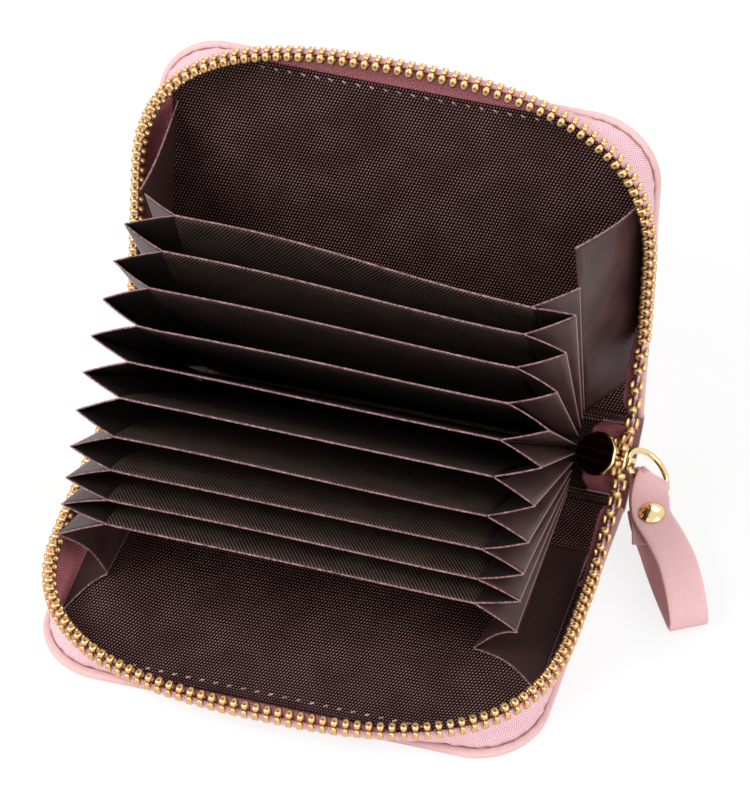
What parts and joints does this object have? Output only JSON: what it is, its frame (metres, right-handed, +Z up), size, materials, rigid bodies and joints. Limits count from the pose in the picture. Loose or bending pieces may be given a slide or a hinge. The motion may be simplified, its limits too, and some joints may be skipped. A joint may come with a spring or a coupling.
{
  "type": "zip around accordion card wallet",
  "caption": "Small leather zip-around wallet standing open: a fan of woven pocket leaves between two padded covers, metal zip, slider and strap pull.",
  "frame": {"origin": "Middle of the lower cover's underside, which lies flat on the table.", "axes": "X along the spine, positive towards the slider and pull strap. Y across the covers, negative at the mouth where the zip closes and positive at the spine. Z up from the table."},
  "size_m": [0.139, 0.1178, 0.0915],
  "materials": {
    "outer_leather": "pale pink fine-grained leather, satin",
    "strap_leather": "dusty pink smooth leather, satin",
    "zip_tape": "pink herringbone zip tape",
    "lining": "dark brown woven lining with small light dots",
    "leaf_cloth": "near-black brown fine twill with pinkish folded edges",
    "gusset_cloth": "mauve-brown fine satin cloth",
    "board": "hidden stiffening board",
    "gold": "pale gold plating, bright",
    "gold_teeth": "pale gold zip teeth, bright"
  },
  "bodies": {
    "lower_cover": {"lower_cover_leather": "outer_leather", "lower_cover_board": "board", "lower_cover_lining": "lining", "lower_zip_tape": "zip_tape", "lower_zip_tape_end": "zip_tape", "lower_zip_teeth": "gold_teeth", "lower_zip_teeth_end": "gold_teeth", "lower_zip_stop": "gold", "lower_left_wing": "gusset_cloth", "lower_right_wing": "gusset_cloth"},
    "spine": {"spine_leather": "outer_leather", "spine_lining": "lining", "leaf_base_tape": "leaf_cloth"},
    "upper_cover": {"upper_cover_leather": "outer_leather", "upper_cover_board": "board", "upper_cover_lining": "lining", "upper_zip_tape": "zip_tape", "upper_zip_tape_end": "zip_tape", "upper_zip_teeth": "gold_teeth", "upper_zip_teeth_end": "gold_teeth", "upper_zip_stop": "gold", "upper_left_wing": "gusset_cloth", "upper_right_wing": "gusset_cloth"},
    "divider_1": {"divider_1": "leaf_cloth", "gusset_1": "gusset_cloth"},
    "divider_2": {"divider_2": "leaf_cloth", "gusset_2": "gusset_cloth"},
    "divider_3": {"divider_3": "leaf_cloth", "gusset_3": "gusset_cloth"},
    "divider_4": {"divider_4": "leaf_cloth", "gusset_4": "gusset_cloth"},
    "divider_5": {"divider_5": "leaf_cloth", "gusset_5": "gusset_cloth"},
    "divider_6": {"divider_6": "leaf_cloth", "gusset_6": "gusset_cloth"},
    "divider_7": {"divider_7": "leaf_cloth", "gusset_7": "gusset_cloth"},
    "divider_8": {"divider_8": "leaf_cloth", "gusset_8": "gusset_cloth"},
    "divider_9": {"divider_9": "leaf_cloth", "gusset_9": "gusset_cloth"},
    "divider_10": {"divider_10": "leaf_cloth", "gusset_10": "gusset_cloth"},
    "slider": {"slider_body": "gold", "slider_bridge": "gold"},
    "pull_ring": {"pull_ring": "gold"},
    "pull_strap": {"pull_strap": "strap_leather", "rivet_cap": "gold", "rivet_post": "gold", "rivet_back": "gold"}
  },
  "joints": [
    {"name": "spine_fold", "type": "hinge", "parent": "lower_cover", "child": "spine", "pos_m": [0, 0.0365, 0.001], "axis": [1, 0, 0], "range_deg": [0, 53.5], "deforming": ["lower_zip_tape_end", "lower_zip_teeth_end"]},
    {"name": "cover_fold", "type": "hinge", "parent": "spine", "child": "upper_cover", "pos_m": [0, 0.05097, 0.01171], "axis": [1, 0, 0], "range_deg": [0, 53.5], "deforming": ["upper_zip_tape_end", "upper_zip_teeth_end", "upper_left_wing", "upper_right_wing"]},
    {"name": "leaf_1_fold", "type": "hinge", "parent": "spine", "child": "divider_1", "pos_m": [0, 0.04725, 0.01144], "axis": [1, 0, 0], "range_deg": [0, 19.5], "deforming": ["gusset_1"]},
    {"name": "leaf_2_fold", "type": "hinge", "parent": "spine", "child": "divider_2", "pos_m": [0, 0.0462, 0.01067], "axis": [1, 0, 0], "range_deg": [0, 13.5], "deforming": ["gusset_2"]},
    {"name": "leaf_3_fold", "type": "hinge", "parent": "spine", "child": "divider_3", "pos_m": [0, 0.04516, 0.00989], "axis": [1, 0, 0], "range_deg": [0, 7.5], "deforming": ["gusset_3"]},
    {"name": "leaf_4_fold", "type": "hinge", "parent": "spine", "child": "divider_4", "pos_m": [0, 0.04411, 0.00912], "axis": [1, 0, 0], "range_deg": [0, 1.5], "deforming": ["gusset_4"]},
    {"name": "leaf_5_fold", "type": "hinge", "parent": "spine", "child": "divider_5", "pos_m": [0, 0.04307, 0.00835], "axis": [1, 0, 0], "range_deg": [-4, 0], "deforming": ["gusset_5"]},
    {"name": "leaf_6_fold", "type": "hinge", "parent": "spine", "child": "divider_6", "pos_m": [0, 0.04202, 0.00757], "axis": [1, 0, 0], "range_deg": [-9.5, 0], "deforming": ["gusset_6"]},
    {"name": "leaf_7_fold", "type": "hinge", "parent": "spine", "child": "divider_7", "pos_m": [0, 0.04098, 0.0068], "axis": [1, 0, 0], "range_deg": [-15.5, 0], "deforming": ["gusset_7"]},
    {"name": "leaf_8_fold", "type": "hinge", "parent": "spine", "child": "divider_8", "pos_m": [0, 0.03993, 0.00603], "axis": [1, 0, 0], "range_deg": [-20.5, 0], "deforming": ["gusset_8"]},
    {"name": "leaf_9_fold", "type": "hinge", "parent": "spine", "child": "divider_9", "pos_m": [0, 0.03889, 0.00526], "axis": [1, 0, 0], "range_deg": [-25, 0], "deforming": ["gusset_9"]},
    {"name": "leaf_10_fold", "type": "hinge", "parent": "spine", "child": "divider_10", "pos_m": [0, 0.03784, 0.00448], "axis": [1, 0, 0], "range_deg": [-28.5, 0], "deforming": ["gusset_10", "lower_left_wing", "lower_right_wing"]},
    {"name": "slider_slide", "type": "slide", "parent": "spine", "child": "slider", "axis": [0.9063, -0.2514, 0.3397], "range_m": [0, 0.003]},
    {"name": "ring_swing", "type": "hinge", "parent": "slider", "child": "pull_ring", "pos_m": [0.05499, 0.03945, 0.0123], "axis": [0.2198, -0.9749, 0.0361], "range_deg": [0, 20]},
    {"name": "strap_swing", "type": "hinge", "parent": "pull_ring", "child": "pull_strap", "pos_m": [0.05955, 0.03789, 0.00878], "axis": [-0.7207, -0.2102, 0.6606], "range_deg": [0, 70]}
  ],
  "couplings": [
    {"joint": "cover_fold", "follows": "spine_fold", "ratio": 1},
    {"joint": "leaf_1_fold", "follows": "spine_fold", "ratio": 0.36449},
    {"joint": "leaf_2_fold", "follows": "spine_fold", "ratio": 0.25234},
    {"joint": "leaf_3_fold", "follows": "spine_fold", "ratio": 0.14019},
    {"joint": "leaf_4_fold", "follows": "spine_fold", "ratio": 0.028037},
    {"joint": "leaf_5_fold", "follows": "spine_fold", "ratio": -0.074766},
    {"joint": "leaf_6_fold", "follows": "spine_fold", "ratio": -0.17757},
    {"joint": "leaf_7_fold", "follows": "spine_fold", "ratio": -0.28972},
    {"joint": "leaf_8_fold", "follows": "spine_fold", "ratio": -0.38318},
    {"joint": "leaf_9_fold", "follows": "spine_fold", "ratio": -0.46729},
    {"joint": "leaf_10_fold", "follows": "spine_fold", "ratio": -0.53271}
  ]
}
